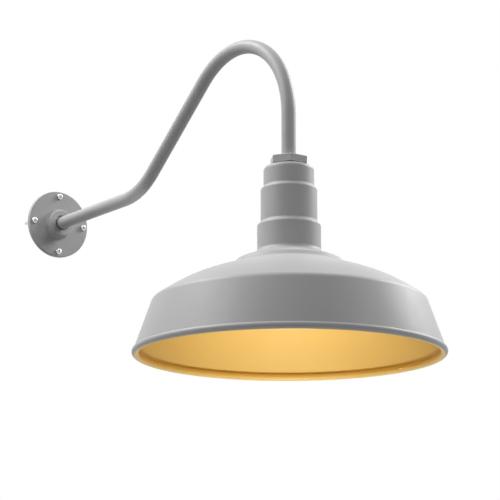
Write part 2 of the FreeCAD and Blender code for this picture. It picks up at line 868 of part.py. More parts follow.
def lamp_contacts():
    """The screw shell and the sprung centre contact, with the two rivets that join them to the leads."""
    shell = new_body("screw_shell", ON_SHADE_AXIS)
    floor = web_bottom - "shell_sheet"
    neck_outside = size("shell_neck_radius") + "shell_sheet"
    neck_bottom = web_bottom - "shell_neck_length"
    rim = web_bottom - "shell_length"
    revolve(
        shell,
        "drawing",
        "XZ_Plane",
        [
            (shell_floor_radius, web_bottom),
            (neck_outside, web_bottom),
            (neck_outside, neck_bottom + "shell_sheet"),
            (shell_outside, neck_bottom + "shell_sheet"),
            (shell_outside, rim),
            (size("shell_bore_radius"), rim),
            (size("shell_bore_radius"), neck_bottom),
            (size("shell_neck_radius"), neck_bottom),
            (size("shell_neck_radius"), floor),
            (shell_floor_radius, floor),
        ],
    )

    rivet = template("terminal_rivet")
    headed_pin(rivet, "rivet", size("holder_web"))
    level = -size("projection")
    places = [(x, level, recess_bottom) for x in (contact_rivet_place, -shell_rivet_place)]
    group("terminal_rivets", rivet, places)

    leaf = new_body("centre_contact", ON_SHADE_AXIS)
    root = web_bottom - "leaf_gap"
    fall = (size("leaf_root") + "leaf_tip") * size("leaf_angle").tan()
    thickness = size("leaf_thickness") / size("leaf_angle").cos()
    side = new_sketch(leaf, "leaf_outline", "XZ_Plane", -half_leaf)
    outline(
        side,
        [
            (size("leaf_root"), root),
            (size("leaf_root"), root - thickness),
            (-size("leaf_tip"), root - thickness - fall),
            (-size("leaf_tip"), root - fall),
        ],
    )
    pad(leaf, "leaf", side, size("leaf_width"))


# ---- build, check and write

wall_flange()
mounting_screws()
arm_lock()
ground_screw()
wall_bushing()
gooseneck_arm()
lead("lead_black", 1, contact_rivet_place)
lead("lead_white", -1, shell_rivet_place)
hex_hub()
neck_clamp()
shade()
socket_nipple()
socket_bracket()
lampholder_body()
lamp_contacts()
doc.recompute()

for thing in doc.Objects:
    if "Invalid" in thing.State or "Error" in thing.State:
        raise SystemExit(f"{thing.Name} failed: {thing.State}")
for part in sub_parts:
    if part.Shape.isNull() or not part.Shape.isValid():
        raise SystemExit(f"{part.Label} has no valid shape")

os.makedirs("parts", exist_ok=True)
for part in sub_parts:
    part.Shape.exportStep(f"parts/{part.Label}.step")
print(f"{len(sub_parts)} sub-parts written")
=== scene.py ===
"""The looks of a gooseneck wall sconce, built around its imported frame.

The wall is the plane Y = 0, +Z is up, the arm reaches towards -Y, and the shade hangs round an
upright axis.
Sizes are in millimetres until a piece is finished, and in metres after that.
"""

import math

import bmesh
import bpy
from mathutils import Matrix, Vector

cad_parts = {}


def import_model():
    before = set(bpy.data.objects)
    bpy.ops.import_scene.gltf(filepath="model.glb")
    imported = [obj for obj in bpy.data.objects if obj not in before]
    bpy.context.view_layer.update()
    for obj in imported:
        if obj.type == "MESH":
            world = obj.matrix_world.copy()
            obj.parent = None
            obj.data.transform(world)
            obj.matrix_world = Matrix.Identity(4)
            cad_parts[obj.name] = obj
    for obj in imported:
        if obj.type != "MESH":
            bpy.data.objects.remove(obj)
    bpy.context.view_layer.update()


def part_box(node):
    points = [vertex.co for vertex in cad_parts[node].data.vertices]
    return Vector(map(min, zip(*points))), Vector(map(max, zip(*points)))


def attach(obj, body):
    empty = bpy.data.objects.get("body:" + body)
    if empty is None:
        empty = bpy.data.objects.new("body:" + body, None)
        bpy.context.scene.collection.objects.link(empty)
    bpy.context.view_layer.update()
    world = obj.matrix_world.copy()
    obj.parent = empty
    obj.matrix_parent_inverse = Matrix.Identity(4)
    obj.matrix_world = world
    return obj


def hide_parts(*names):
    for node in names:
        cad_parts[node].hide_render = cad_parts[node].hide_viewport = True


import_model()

MM = 0.001
TAU = 2 * math.pi
SHARP = math.radians(32)
WELD = 0.001
X_WAY, Y_WAY, Z_WAY = Vector((1, 0, 0)), Vector((0, 1, 0)), Vector((0, 0, 1))
UPRIGHT, LEVEL = "upright", "level"
ORIGIN = Vector((0, 0, 0))


def node_box(node):
    """A node's lowest and highest corners in millimetres."""
    low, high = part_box(node)
    return low / MM, high / MM


shade_low, shade_high = node_box("shade")
SHADE_AXIS = Vector((0, (shade_low.y + shade_high.y) / 2, 0))
NECK_TOP = shade_high.z
RIM_RADIUS = (shade_high.x - shade_low.x) / 2


# ---- outlines

CORNER_STEP = math.radians(9)


def corner_arc(before, corner, after, radius, step):
    """Points of the arc that rounds a corner of a line in space."""
    back = (before - corner).normalized()
    ahead = (after - corner).normalized()
    half = back.angle(ahead) / 2
    reach = radius / math.tan(half)
    centre = corner + (back + ahead).normalized() * (radius / math.sin(half))
    first = corner + back * reach - centre
    last = corner + ahead * reach - centre
    swing = first.angle(last)
    count = max(2, math.ceil(swing / step))
    points = []
    for i in range(count + 1):
        share = swing * i / count
        mix = (first * math.sin(swing - share) + last * math.sin(share)) / math.sin(swing)
        points.append(centre + mix)
    return points


def rounded(corners, closed=False, step=CORNER_STEP):
    """A line through corners (..., radius), the ones with a radius turned into arcs.

    A flat corner is (u, v) or (u, v, radius) and a corner in space has one number more.
    """
    size = min(len(c) for c in corners)
    places = [Vector(c[:size]) for c in corners]
    line = []
    for i, corner in enumerate(corners):
        inner = closed or 0 < i < len(corners) - 1
        if len(corner) > size and inner:
            before, after = places[i - 1], places[(i + 1) % len(places)]
            line += corner_arc(before, places[i], after, corner[size], step)
        else:
            line.append(places[i])
    return line


def inner_line(corners, gauge):
    """The corners one gauge inside a line of flat corners, without its two ends."""
    places = [Vector(c[:2]) for c in corners]
    normals = [Vector((b.y - a.y, a.x - b.x)).normalized() for a, b in zip(places, places[1:])]
    inside = []
    for i in range(1, len(corners) - 1):
        before, after = normals[i - 1], normals[i]
        shift = (before + after) * (gauge / (1 + before.dot(after)))
        bends_down = before.y * after.x - before.x * after.y > 0
        inside.append((*(places[i] + shift), corners[i][2] + (-gauge if bends_down else gauge)))
    return inside


def circle_arc(centre, radius, start, end, count):
    """Points on a flat circle from one angle in degrees to another."""
    u, v = centre
    angles = [math.radians(start + (end - start) * i / count) for i in range(count + 1)]
    return [Vector((u + radius * math.cos(a), v + radius * math.sin(a))) for a in angles]


# ---- rows of points and skins between them


def around(sides):
    """Angles all the way round, the first and the last in one place."""
    return [TAU * i / sides for i in range(sides + 1)]


FINE, MEDIUM, SMALL = around(192), around(96), around(48)


def spot(u, v, height, axis):
    """A point (u, v) across an upright or level axis and height along it."""
    return Vector((u, v, height) if axis == UPRIGHT else (u, height, v))


def ring(angles, radius, height, place=SHADE_AXIS, axis=UPRIGHT):
    """A row round an axis. Radius and height are numbers or functions of the angle."""
    row = []
    for angle in angles:
        r = radius(angle) if callable(radius) else radius
        h = height(angle) if callable(height) else height
        row.append(place + spot(r * math.cos(angle), r * math.sin(angle), h, axis))
    return row


def turned(profile, angles=MEDIUM, place=SHADE_AXIS, axis=UPRIGHT):
    """Rows for a turned shape from a profile of (radius, height)."""
    return [ring(angles, p[0], p[1], place, axis) for p in profile]


def tube_rows(line, radius, angles, normal):
    """Rows of circles along a line in space, their start kept from twisting."""
    ways = [(b - a).normalized() for a, b in zip(line, line[1:])]
    ways = [ways[0]] + [(a + b).normalized() for a, b in zip(ways, ways[1:])] + [ways[-1]]
    rows = []
    for i, (point, way) in enumerate(zip(line, ways)):
        if i:
            normal = ways[i - 1].rotation_difference(way) @ normal
        side = way.cross(normal)
        rows.append([point + (normal * math.cos(a) + side * math.sin(a)) * radius for a in angles])
    return rows


def capped(rows):
    """The rows and, at both ends, a row drawn together between two opposite points."""
    first, last = ([row[0].lerp(row[len(row) // 2], 0.5)] * len(row) for row in (rows[0], rows[-1]))
    return [first, *rows, last]


def solid(rows, closed=False, paints=None):
    """A mesh with faces between neighbouring rows, and from the last back to the first if closed.

    The number in paints is the material of the faces that start from that row.
    """
    made = bmesh.new()
    rows = [[made.verts.new(point) for point in row] for row in rows]
    following = rows[1:] + (rows[:1] if closed else [])
    for number, (low, high) in enumerate(zip(rows, following)):
        for i in range(len(low) - 1):
            face = made.faces.new((low[i], low[i + 1], high[i + 1], high[i]))
            if paints:
                face.material_index = paints[number]
    bmesh.ops.remove_doubles(made, verts=made.verts, dist=WELD)
    bmesh.ops.recalc_face_normals(made, faces=made.faces)
    return made


# each pair is a share of the pitch and the share of the depth there
CUT_FORM = ((0.0, 0.0), (0.12, 0.0), (0.5, 1.0), (0.62, 1.0))
ROLLED_FORM = tuple((i / 10, (1 - math.cos(TAU * i / 10)) / 2) for i in range(10))


def form_depth(form, phase):
    """The share of a thread's depth at a phase of its pitch."""
    stops = [*form, (1.0, form[0][1])]
    for (start, low), (end, high) in zip(stops, stops[1:]):
        if phase <= end:
            return low + (high - low) * (phase - start) / (end - start)
    return form[0][1]


def thread(
    angles, crest, depth, pitch, heights, place=SHADE_AXIS, axis=UPRIGHT, form=CUT_FORM, fade=0.0
):
    """Rows of a helical thread from one height to another, along the helix between the ends.

    Over the length of fade before the last height the thread runs out.
    """
    low, high = min(heights), max(heights)
    rows = []
    for turn in range(-1, math.ceil((high - low) / pitch) + 1):
        for phase, _ in form:
            row = []
            for angle in angles:
                helix = pitch * angle / TAU
                height = min(max(low + (turn + phase) * pitch + helix, low), high)
                share = form_depth(form, ((height - low - helix) / pitch) % 1)
                if fade:
                    share *= min(1, abs(height - heights[1]) / fade)
                radius = crest - depth * share
                u, v = radius * math.cos(angle), radius * math.sin(angle)
                row.append(place + spot(u, v, height, axis))
            rows.append(row)
    return rows if heights[0] < heights[1] else rows[::-1]


def hexagon(flat, corner_round):
    """The radius at an angle of a hexagon with rounded corners, the first at angle 0."""
    corner_centre = (flat - corner_round) / math.cos(TAU / 12)

    def radius(angle):
        off = abs((angle + TAU / 12) % (TAU / 6) - TAU / 12)
        if flat * math.tan(TAU / 12 - off) <= (flat - corner_round) * math.tan(TAU / 12):
            return flat / math.cos(TAU / 12 - off)
        aside = corner_centre * math.sin(off)
        return corner_centre * math.cos(off) + math.sqrt(corner_round**2 - aside**2)

    return radius


def hexagon_angles(flat, corner_round, sides=72):
    """Angles for a hexagon's rows: evenly round, and closer where its corners are rounded."""
    bend = TAU / 12 - math.atan((flat - corner_round) * math.tan(TAU / 12) / flat)
    at_corners = {k * TAU / 6 + bend * share for k in range(7) for share in (-1, -0.5, 0, 0.5, 1)}
    kept = {a for a in around(sides) if min(abs(a - c) for c in at_corners) > math.radians(1)}
    return sorted(a for a in at_corners | kept if -1e-9 <= a <= TAU + 1e-9)


def nut_rows(corner_radius, bore, heights, place=SHADE_AXIS, axis=UPRIGHT):
    """A hexagonal nut with both faces turned at 30 degrees and a chamfered bore."""
    low, high = heights
    corner_round, bevel, face_share = 0.4, 0.5, 0.965
    flat = corner_radius * math.cos(TAU / 12)
    outline = hexagon(flat, corner_round)
    angles = hexagon_angles(flat, corner_round)
    face = flat * face_share

    def cut(angle):
        return max(0.0, (outline(angle) - face) * math.tan(TAU / 12))

    levels = [
        (bore, low + bevel),
        (bore + bevel, low),
        (lambda a: min(outline(a), face), low),
        (outline, lambda a: low + cut(a)),
        (outline, lambda a: high - cut(a)),
        (lambda a: min(outline(a), face), high),
        (bore + bevel, high),
        (bore, high - bevel),
    ]
    return [ring(angles, radius, height, place, axis) for radius, height in levels]


def cross_cutter(span, width, depth, top, place):
    """A tapered cross that cuts a driver recess into a face towards -Y."""
    wide, narrow = span / 2, width / 2
    quarter = [(wide, -narrow), (wide, narrow), (narrow, narrow)]
    corners = []
    for _ in range(4):
        corners += quarter
        quarter = [(-v, u) for u, v in quarter]
    corners.append(corners[0])
    # each: the share of the cross's size, and the height over the face
    levels = ((0.0, top), (1.0, top), (1.0, 0.0), (0.42, -depth * 0.85), (0.0, -depth))
    rows = []
    for share, height in levels:
        rows.append([place + Vector((u, 0, v)) * share - Y_WAY * height for u, v in corners])
    return solid(rows)


# ---- cuts and copies

SLOT_LENGTH, SLOT_WIDTH = 10, 0.9


def as_object(mesh_data, name):
    """An object in the scene from a mesh, which is used up."""
    mesh = bpy.data.meshes.new(name)
    mesh_data.to_mesh(mesh)
    mesh_data.free()
    thing = bpy.data.objects.new(name, mesh)
    bpy.context.scene.collection.objects.link(thing)
    return thing


def fill_ends(mesh_data):
    """Closes a mesh's open ends."""
    bmesh.ops.holes_fill(mesh_data, edges=[e for e in mesh_data.edges if e.is_boundary], sides=0)
    bmesh.ops.recalc_face_normals(mesh_data, faces=mesh_data.faces)


def carve(mesh_data, cutters):
    """The mesh with the cutters' shapes taken out, and closed where the cut leaves a sliver."""
    thing = as_object(mesh_data, "blank")
    tools = [as_object(cutter, "cutter") for cutter in cutters]
    for tool in tools:
        cut = thing.modifiers.new("cut", "BOOLEAN")
        cut.object = tool
        cut.operation = "DIFFERENCE"
        cut.solver = "EXACT"
    seen = thing.evaluated_get(bpy.context.evaluated_depsgraph_get())
    result = bmesh.new()
    result.from_mesh(seen.to_mesh())
    seen.to_mesh_clear()
    fill_ends(result)
    for used in (thing, *tools):
        data = used.data
        bpy.data.objects.remove(used)
        bpy.data.meshes.remove(data)
    return result


def drill(radius, heights, place, axis=UPRIGHT):
    """A round cutter."""
    low, high = heights
    profile = [(0, low), (radius, low), (radius, high), (0, high)]
    return solid(turned(profile, SMALL, place, axis))


def slot_cutter(heights, place=ORIGIN, axis=UPRIGHT):
    """A long thin cutter for a driver's slot."""
    u, v = SLOT_LENGTH / 2, SLOT_WIDTH / 2
    corners = ((-u, -v), (u, -v), (u, v), (-u, v), (-u, -v))
    cutter = solid([[place + spot(*c, height, axis) for c in corners] for height in heights])
    fill_ends(cutter)
    return cutter


def merged(meshes):
    """Several meshes as one."""
    whole = bmesh.new()
    for mesh_data in meshes:
        mesh = bpy.data.meshes.new("part")
        mesh_data.to_mesh(mesh)
        mesh_data.free()
        whole.from_mesh(mesh)
        bpy.data.meshes.remove(mesh)
    return whole


def copies(mesh_data, places):
    """Copies of a mesh round the origin, one for each place (offset, turn in degrees, way)."""
    whole = bmesh.new()
    mesh = bpy.data.meshes.new("pattern")
    for offset, turn, way in places:
        copy = mesh_data.copy()
        spin = Matrix.Rotation(math.radians(turn), 3, way)
        bmesh.ops.rotate(copy, verts=copy.verts, cent=ORIGIN, matrix=spin)
        bmesh.ops.translate(copy, verts=copy.verts, vec=offset)
        copy.to_mesh(mesh)
        copy.free()
        whole.from_mesh(mesh)
    mesh_data.free()
    bpy.data.meshes.remove(mesh)
    return whole


def piece(name, nodes, mesh_data, finishes, body="fixture"):
    """Finishes a piece for its CAD nodes: welded, in metres, with its sharp edges marked."""
    bmesh.ops.remove_doubles(mesh_data, verts=mesh_data.verts, dist=WELD)
    bmesh.ops.scale(mesh_data, vec=(MM, MM, MM), verts=mesh_data.verts)
    bmesh.ops.recalc_face_normals(mesh_data, faces=mesh_data.faces)
    for face in mesh_data.faces:
        face.smooth = True
    for edge in mesh_data.edges:
        edge.smooth = len(edge.link_faces) == 2 and edge.calc_face_angle(0) < SHARP
    thing = as_object(mesh_data, name)
    for finish in finishes:
        thing.data.materials.append(finish)
    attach(thing, body)
    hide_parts(*nodes)


# ---- materials

# scales of noise are features per metre, a relief is in metres, stops are shares of noise's range
NOISE_DETAIL = 3.0
COLOUR_STOPS, ROUGHNESS_STOPS = (0.3, 0.7), (0.25, 0.75)
COATING_CLOUDS, COATING_SHEEN, COATING_SHIFT = 9.0, 60.0, 0.03
METAL_CLOUDS, METAL_SHEEN, METAL_LINES = 150.0, 500.0, 2500.0
METAL_RELIEF = 0.000003
METAL_GRAIN = (1, 1, 12)


def new_material(name, metallic=0.0, specular=0.5):
    """A material with the values that are the same all over it, its node tree and its shader."""
    material = bpy.data.materials.new(name)
    material.use_nodes = True
    tree = material.node_tree
    shader = tree.nodes["Principled BSDF"]
    shader.inputs["Metallic"].default_value = metallic
    shader.inputs["Specular IOR Level"].default_value = specular
    return material, tree, shader


def noise(tree, scale, stretch=(1, 1, 1)):
    """A noise texture in the object's own metres, with features of about 1 / scale."""
    nodes, links = tree.nodes, tree.links
    where = nodes.new("ShaderNodeTexCoord")
    mapping = nodes.new("ShaderNodeMapping")
    mapping.inputs["Scale"].default_value = stretch
    texture = nodes.new("ShaderNodeTexNoise")
    texture.inputs["Scale"].default_value = scale
    texture.inputs["Detail"].default_value = NOISE_DETAIL
    links.new(where.outputs["Object"], mapping.inputs["Vector"])
    links.new(mapping.outputs["Vector"], texture.inputs["Vector"])
    return texture


def vary_colour(tree, shader, texture, low, high):
    """Mixes two near colours by a texture."""
    ramp = tree.nodes.new("ShaderNodeValToRGB")
    for stop, position, colour in zip(ramp.color_ramp.elements, COLOUR_STOPS, (low, high)):
        stop.position = position
        stop.color = (*colour, 1)
    tree.links.new(texture.outputs["Fac"], ramp.inputs["Fac"])
    tree.links.new(ramp.outputs["Color"], shader.inputs["Base Color"])


def vary_roughness(tree, shader, texture, low, high):
    """Roughness between two values by a texture."""
    scale = tree.nodes.new("ShaderNodeMapRange")
    limits = zip(("From Min", "From Max", "To Min", "To Max"), (*ROUGHNESS_STOPS, low, high))
    for limit, value in limits:
        scale.inputs[limit].default_value = value
    tree.links.new(texture.outputs["Fac"], scale.inputs["Value"])
    tree.links.new(scale.outputs["Result"], shader.inputs["Roughness"])


def bump(tree, shader, texture, height):
    """A bump of a real height in metres from a texture."""
    node = tree.nodes.new("ShaderNodeBump")
    node.inputs["Strength"].default_value = 1.0
    node.inputs["Distance"].default_value = height
    tree.links.new(texture.outputs["Fac"], node.inputs["Height"])
    tree.links.new(node.outputs["Normal"], shader.inputs["Normal"])


def scaled(colour, share):
    """A colour made lighter or darker."""
    return [min(1.0, c * share) for c in colour]


def coating(name, colour, roughness, peel=0.000006, grain=300.0, change=0.015, specular=0.5):
    """A baked coating or a moulded skin: nearly even colour and a fine peel."""
    material, tree, shader = new_material(name, specular=specular)
    darker, lighter = scaled(colour, 1 - change), scaled(colour, 1 + change)
    vary_colour(tree, shader, noise(tree, COATING_CLOUDS), darker, lighter)
    low, high = roughness - COATING_SHIFT, roughness + COATING_SHIFT
    vary_roughness(tree, shader, noise(tree, COATING_SHEEN), low, high)
    bump(tree, shader, noise(tree, grain), peel)
    return material


def metal(name, colour, roughness, change=0.06):
    """A metal with the fine lines of polish, plating or drawing."""
    material, tree, shader = new_material(name, metallic=1.0)
    vary_colour(tree, shader, noise(tree, METAL_CLOUDS), scaled(colour, 1 - change), colour)
    low, high = roughness * 0.8, roughness * 1.25
    vary_roughness(tree, shader, noise(tree, METAL_SHEEN, METAL_GRAIN), low, high)
    bump(tree, shader, noise(tree, METAL_LINES, METAL_GRAIN), METAL_RELIEF)
    return material


GREY_COLOUR = (0.44, 0.445, 0.44)
GREY = coating("grey_coat", GREY_COLOUR, 0.5, specular=0.35)
CAST_GREY = coating(
    "grey_coat_on_casting", GREY_COLOUR, 0.52, peel=0.00002, grain=260.0, specular=0.35
)
YELLOW = coating("yellow_enamel", (0.85, 0.575, 0.165), 0.45, specular=0.35)
CHROME = metal("chrome", (0.55, 0.55, 0.56), 0.2)
ZINC = metal("zinc", (0.60, 0.60, 0.58), 0.36, change=0.12)
GREEN_ZINC = metal("green_zinc", (0.10, 0.36, 0.16), 0.36, change=0.15)
BRASS = metal("brass", (0.75, 0.56, 0.26), 0.24, change=0.1)
COPPER = metal("copper", (0.80, 0.42, 0.26), 0.3, change=0.1)
SHELL_METAL = metal("shell_metal", (0.76, 0.74, 0.70), 0.25)
RUBBER = coating("rubber", (0.025, 0.025, 0.025), 0.75, specular=0.3)
NYLON = coating("black_nylon", (0.02, 0.02, 0.02), 0.5)
CERAMIC = coating(
    "glazed_ceramic", (0.82, 0.80, 0.75), 0.12, peel=0.00003, grain=160.0, change=0.03
)
BLACK_SLEEVE = coating("black_sleeve", (0.02, 0.02, 0.02), 0.6)
WHITE_SLEEVE = coating("white_sleeve", (0.75, 0.75, 0.71), 0.6)


# ---- at the wall

FLANGE_RADIUS = 51.75
FACE = -6.8
BOSS_FACE = -18.0
HOLLOW_RADIUS = 37.0
HOLLOW_FLOOR = -3.4
SCREW_CIRCLE = 43.73
SCREW_PLACES = [Vector((x, 0, z)) * SCREW_CIRCLE for x, z in ((0, 1), (1, 0), (0, -1), (-1, 0))]
SCREW_TURNS = (24, 58, 9, 40)
GROUND_PLACE = Vector((26.8, 0, 0))
ARM_RADIUS = 9.525
ARM_BORE = 7.875
THREAD_BORE = 9.575


def wall_flange():
    """A cast flange with a raised boss, bored for the arm and the screws and hollow behind."""
    boss_foot, boss_edge, boss_mouth, mouth_floor = 21.9, 20.3, 11.75, -14.8
    nut_pocket, pocket_floor = 16.6, -10.2
    screw_hole, ground_hole = 2.65, 1.75
    profile = rounded(
        [
            (HOLLOW_RADIUS, 0),
            (FLANGE_RADIUS, 0, 0.5),
            (FLANGE_RADIUS, FACE, 1.1),
            (boss_foot, FACE, 3.2),
            (boss_edge, BOSS_FACE, 2.2),
            (boss_mouth, BOSS_FACE, 0.6),
            (boss_mouth, mouth_floor, 0.6),
            (THREAD_BORE, mouth_floor),
            (THREAD_BORE, pocket_floor),
            (nut_pocket, pocket_floor, 1.0),
            (nut_pocket, HOLLOW_FLOOR, 0.8),
            (HOLLOW_RADIUS, HOLLOW_FLOOR, 1.5),
        ],
        closed=True,
    )
    casting = solid(turned(profile, FINE, ORIGIN, LEVEL), closed=True)
    drills = [drill(screw_hole, (FACE - 2, 2), place, LEVEL) for place in SCREW_PLACES]
    drills.append(drill(ground_hole, (-5.9, -2), GROUND_PLACE, LEVEL))
    piece("flange_casting", ["wall_flange"], carve(casting, drills), [CAST_GREY])


def mounting_screws():
    """Pan head screws, each with a tapered cross recess and a thread behind the flange."""
    head, head_top, neck, tip = 4.75, FACE - 3.2, 2.0, 20.0
    cap = rounded([(0, head_top), (head, head_top, 1.4), (head, FACE, 0.2), (neck, FACE)])
    rows = turned([*cap, (neck, -0.6)], SMALL, ORIGIN, LEVEL)
    crests = (-0.3, tip - 0.6)
    rows += thread(SMALL, 2.4, depth=0.38, pitch=1.06, heights=crests, place=ORIGIN, axis=LEVEL)
    rows += turned([(1.7, tip), (0, tip)], SMALL, ORIGIN, LEVEL)
    face = Vector((0, head_top, 0))
    cross = cross_cutter(span=5.4, width=1.7, depth=2.3, top=1.5, place=face)
    screw = carve(solid(rows), [cross])
    places = [(place, turn, Y_WAY) for place, turn in zip(SCREW_PLACES, SCREW_TURNS)]
    piece("cross_head_screws", ["mounting_screws"], copies(screw, places), [CHROME])


def arm_lock_washer():
    """A washer with sixteen twisted teeth round its outside."""
    teeth, sheet, middle = 16, 0.5, -9.75
    low, high = middle - sheet / 2, middle + sheet / 2
    root, gap_edge, tooth_edge = 12.6, 12.9, 14.5
    tooth_start, tooth_end, twist = 0.2, 0.8, 0.2
    angles = around(teeth * 12)

    def along(angle):
        return (angle * teeth / TAU) % 1

    def edge(angle):
        share = along(angle)
        return tooth_edge if tooth_start < share < tooth_end else gap_edge

    def lean(angle):
        share = along(angle)
        return twist * (share - 0.5) / 0.3 if tooth_start < share < tooth_end else 0

    levels = [
        (THREAD_BORE, low),
        (root, low),
        (edge, lambda a: low + lean(a)),
        (edge, lambda a: high + lean(a)),
        (root, high),
        (THREAD_BORE, high),
    ]
    rows = [ring(angles, radius, height, ORIGIN, LEVEL) for radius, height in levels]
    piece("toothed_washer", ["arm_lock_washer"], solid(rows, closed=True), [ZINC])


def arm_jam_nut():
    """The nut that presses the arm's lock washer against the pocket's floor."""
    rows = nut_rows(15.6, bore=THREAD_BORE, heights=(-9.3, -4.7), place=ORIGIN, axis=LEVEL)
    piece("jam_nut", ["arm_jam_nut"], solid(rows, closed=True), [ZINC])


def ground_screw():
    """A slotted hex head on the recess floor, its shank in the casting."""
    flat, corner_round, top, shank, tip = 3.29, 0.2, -1.2, 1.7, -5.8
    face, slope = flat * 0.96, 0.58
    outline = hexagon(flat, corner_round)
    angles = hexagon_angles(flat, corner_round, sides=36)
    levels = [
        (0, tip),
        (shank, tip),
        (shank, HOLLOW_FLOOR),
        (outline, HOLLOW_FLOOR),
        (outline, lambda a: top - max(0.0, (outline(a) - face) * slope)),
        (lambda a: min(outline(a), face), top),
        (0, top),
    ]
    rows = [ring(angles, radius, height, GROUND_PLACE, LEVEL) for radius, height in levels]
    screw = carve(solid(rows), [slot_cutter((top - 1.0, 0.0), GROUND_PLACE, LEVEL)])
    piece("ground_screw_green", ["ground_screw"], screw, [GREEN_ZINC])


def wall_bushing():
    """A bushing that lines the arm's end at the wall."""
    hole, sleeve, lip, lip_foot, end = 6.275, 7.775, -2.4, -3.6, -10.6
    corners = [
        (hole, lip, 0.5),
        (ARM_RADIUS, lip, 0.5),
        (ARM_RADIUS, lip_foot, 0.2),
        (sleeve, lip_foot),
        (sleeve, end, 0.4),
        (hole, end, 0.4),
    ]
    rows = turned(rounded(corners, closed=True), MEDIUM, ORIGIN, LEVEL)
    piece("wall_end_bushing", ["wall_bushing"], solid(rows, closed=True), [NYLON])


# ---- arm and leads

FIRST_CORNER = Vector((0, -238.4, 0))
TOP_CORNER = Vector((0, SHADE_AXIS.y, 288.9))
FIRST_BEND, TOP_BEND = 113.5, 120.6
ARM_START, ARM_END = -3.6, -35.8
BEND_STEP = math.radians(2)
LEAD_PLACE = 1.45


def arm_line(start, end, aside=0.0):
    """The arm's centreline, or a line beside it, from a Y by the wall to a Z under the hub."""
    off = X_WAY * aside
    first = (*(FIRST_CORNER + off), FIRST_BEND)
    top = (*(TOP_CORNER + off), TOP_BEND)
    return rounded([(aside, start, 0), first, top, (aside, SHADE_AXIS.y, end)], step=BEND_STEP)


def gooseneck_arm():
    """A bent tube, threaded into the boss, with a faint ring groove on its level run."""
    threaded, run_out = -15.5, 3.0
    groove, groove_depth, groove_mouth, groove_floor = -122.0, 0.16, 0.7, 0.35
    rows = turned([(ARM_BORE, ARM_START + 0.4), (ARM_BORE + 0.4, ARM_START)], MEDIUM, ORIGIN, LEVEL)
    crests = (ARM_START - 0.5, threaded)
    rows += thread(MEDIUM, ARM_RADIUS, 0.6, 1.6, crests, ORIGIN, LEVEL, fade=run_out)
    ditch = [
        (ARM_RADIUS, groove + groove_mouth),
        (ARM_RADIUS - groove_depth, groove + groove_floor),
        (ARM_RADIUS - groove_depth, groove - groove_floor),
        (ARM_RADIUS, groove - groove_mouth),
    ]
    rows += turned(ditch, MEDIUM, ORIGIN, LEVEL)
    outside = arm_line(groove - 1.5, ARM_END)
    rows += tube_rows(outside, ARM_RADIUS, MEDIUM, X_WAY)
    inside = arm_line(ARM_START - 0.4, ARM_END)
    rows += tube_rows(inside, ARM_BORE, MEDIUM, X_WAY)[::-1]
    piece("bent_tube", ["gooseneck_arm"], solid(rows, closed=True), [GREY])


def strands(twist):
    """The radius at an angle of a bundle of seven strands, turned by twist."""

    def radius(angle):
        return 0.55 + 0.13 * abs(math.cos((angle - twist) * 7 / 2))

    return radius


def lead(node, side, rivet_place, finish):
    """An insulated lead along the arm and out onto its rivet, with bared strands at the wall."""
    aside = LEAD_PLACE * side
    foot, bend = -80.1, 3.2
    bared, sleeve = -4.6, 1.2
    line = arm_line(bared, foot + bend + 0.4, aside)
    landing = (rivet_place * side, SHADE_AXIS.y, foot)
    line += rounded([(*line[-1],), (aside, SHADE_AXIS.y, foot, bend), landing])[1:]
    insulation = solid(capped(tube_rows(line, sleeve, around(28), X_WAY)))
    bundle_rows, row_step, rows_per_turn = 13, 0.36, 26
    bundle = []
    for i in range(bundle_rows):
        outline, y = strands(TAU * i / rows_per_turn), bared - 1 + i * row_step
        bundle.append(ring(around(56), outline, y, X_WAY * aside, LEVEL))
    copper = solid(capped(bundle))
    for face in copper.faces:
        face.material_index = 1
    piece(f"{node}_wire", [node], merged([insulation, copper]), [finish, COPPER])


# ---- hub and clamp

HUB_SEAT = -35.1
SPIGOT_HOLE = 14.1
NIPPLE_HOLE = 6.55


def hex_hub():
    """A hexagonal hub, chamfered above, with a threaded spigot through the neck's top."""
    top, chamfer, corner_radius, corner_round = -24.8, 0.9, 26.1, 0.5
    spigot_crest, spigot_root, spigot_end = 14.0, 13.4, -58.0
    flat = corner_radius * math.cos(TAU / 12)
    outline, smaller = hexagon(flat, corner_round), hexagon(flat - chamfer, 0.4)
    angles = hexagon_angles(flat, corner_round, sides=96)
    levels = [
        (THREAD_BORE + 0.5, top),
        (smaller, top),
        (outline, top - chamfer),
        (outline, HUB_SEAT + 0.5),
        (hexagon(flat - 0.5, 0.4), HUB_SEAT),
        (spigot_root, HUB_SEAT),
    ]
    rows = [ring(angles, radius, height) for radius, height in levels]
    rows += thread(angles, spigot_crest, 0.7, 1.6, (HUB_SEAT, spigot_end + 0.8))
    bores = [
        (13.2, spigot_end),
        (NIPPLE_HOLE + 0.4, spigot_end),
        (NIPPLE_HOLE, spigot_end + 0.4),
        (NIPPLE_HOLE, ARM_END - 0.1),
        (THREAD_BORE, ARM_END - 0.1),
        (THREAD_BORE, top - 0.5),
    ]
    rows += turned(bores, angles)
    piece("hub", ["hex_hub"], solid(rows, closed=True), [GREY])


def hub_gasket():
    """The ring between the hub and the neck's top."""
    edge, foot = 21.6, -37.5
    corners = [
        (SPIGOT_HOLE, foot),
        (edge, foot, 0.8),
        (edge, HUB_SEAT, 0.8),
        (SPIGOT_HOLE, HUB_SEAT),
    ]
    rows = turned(rounded(corners, closed=True), MEDIUM)
    piece("gasket_ring", ["hub_gasket"], solid(rows, closed=True), [RUBBER])


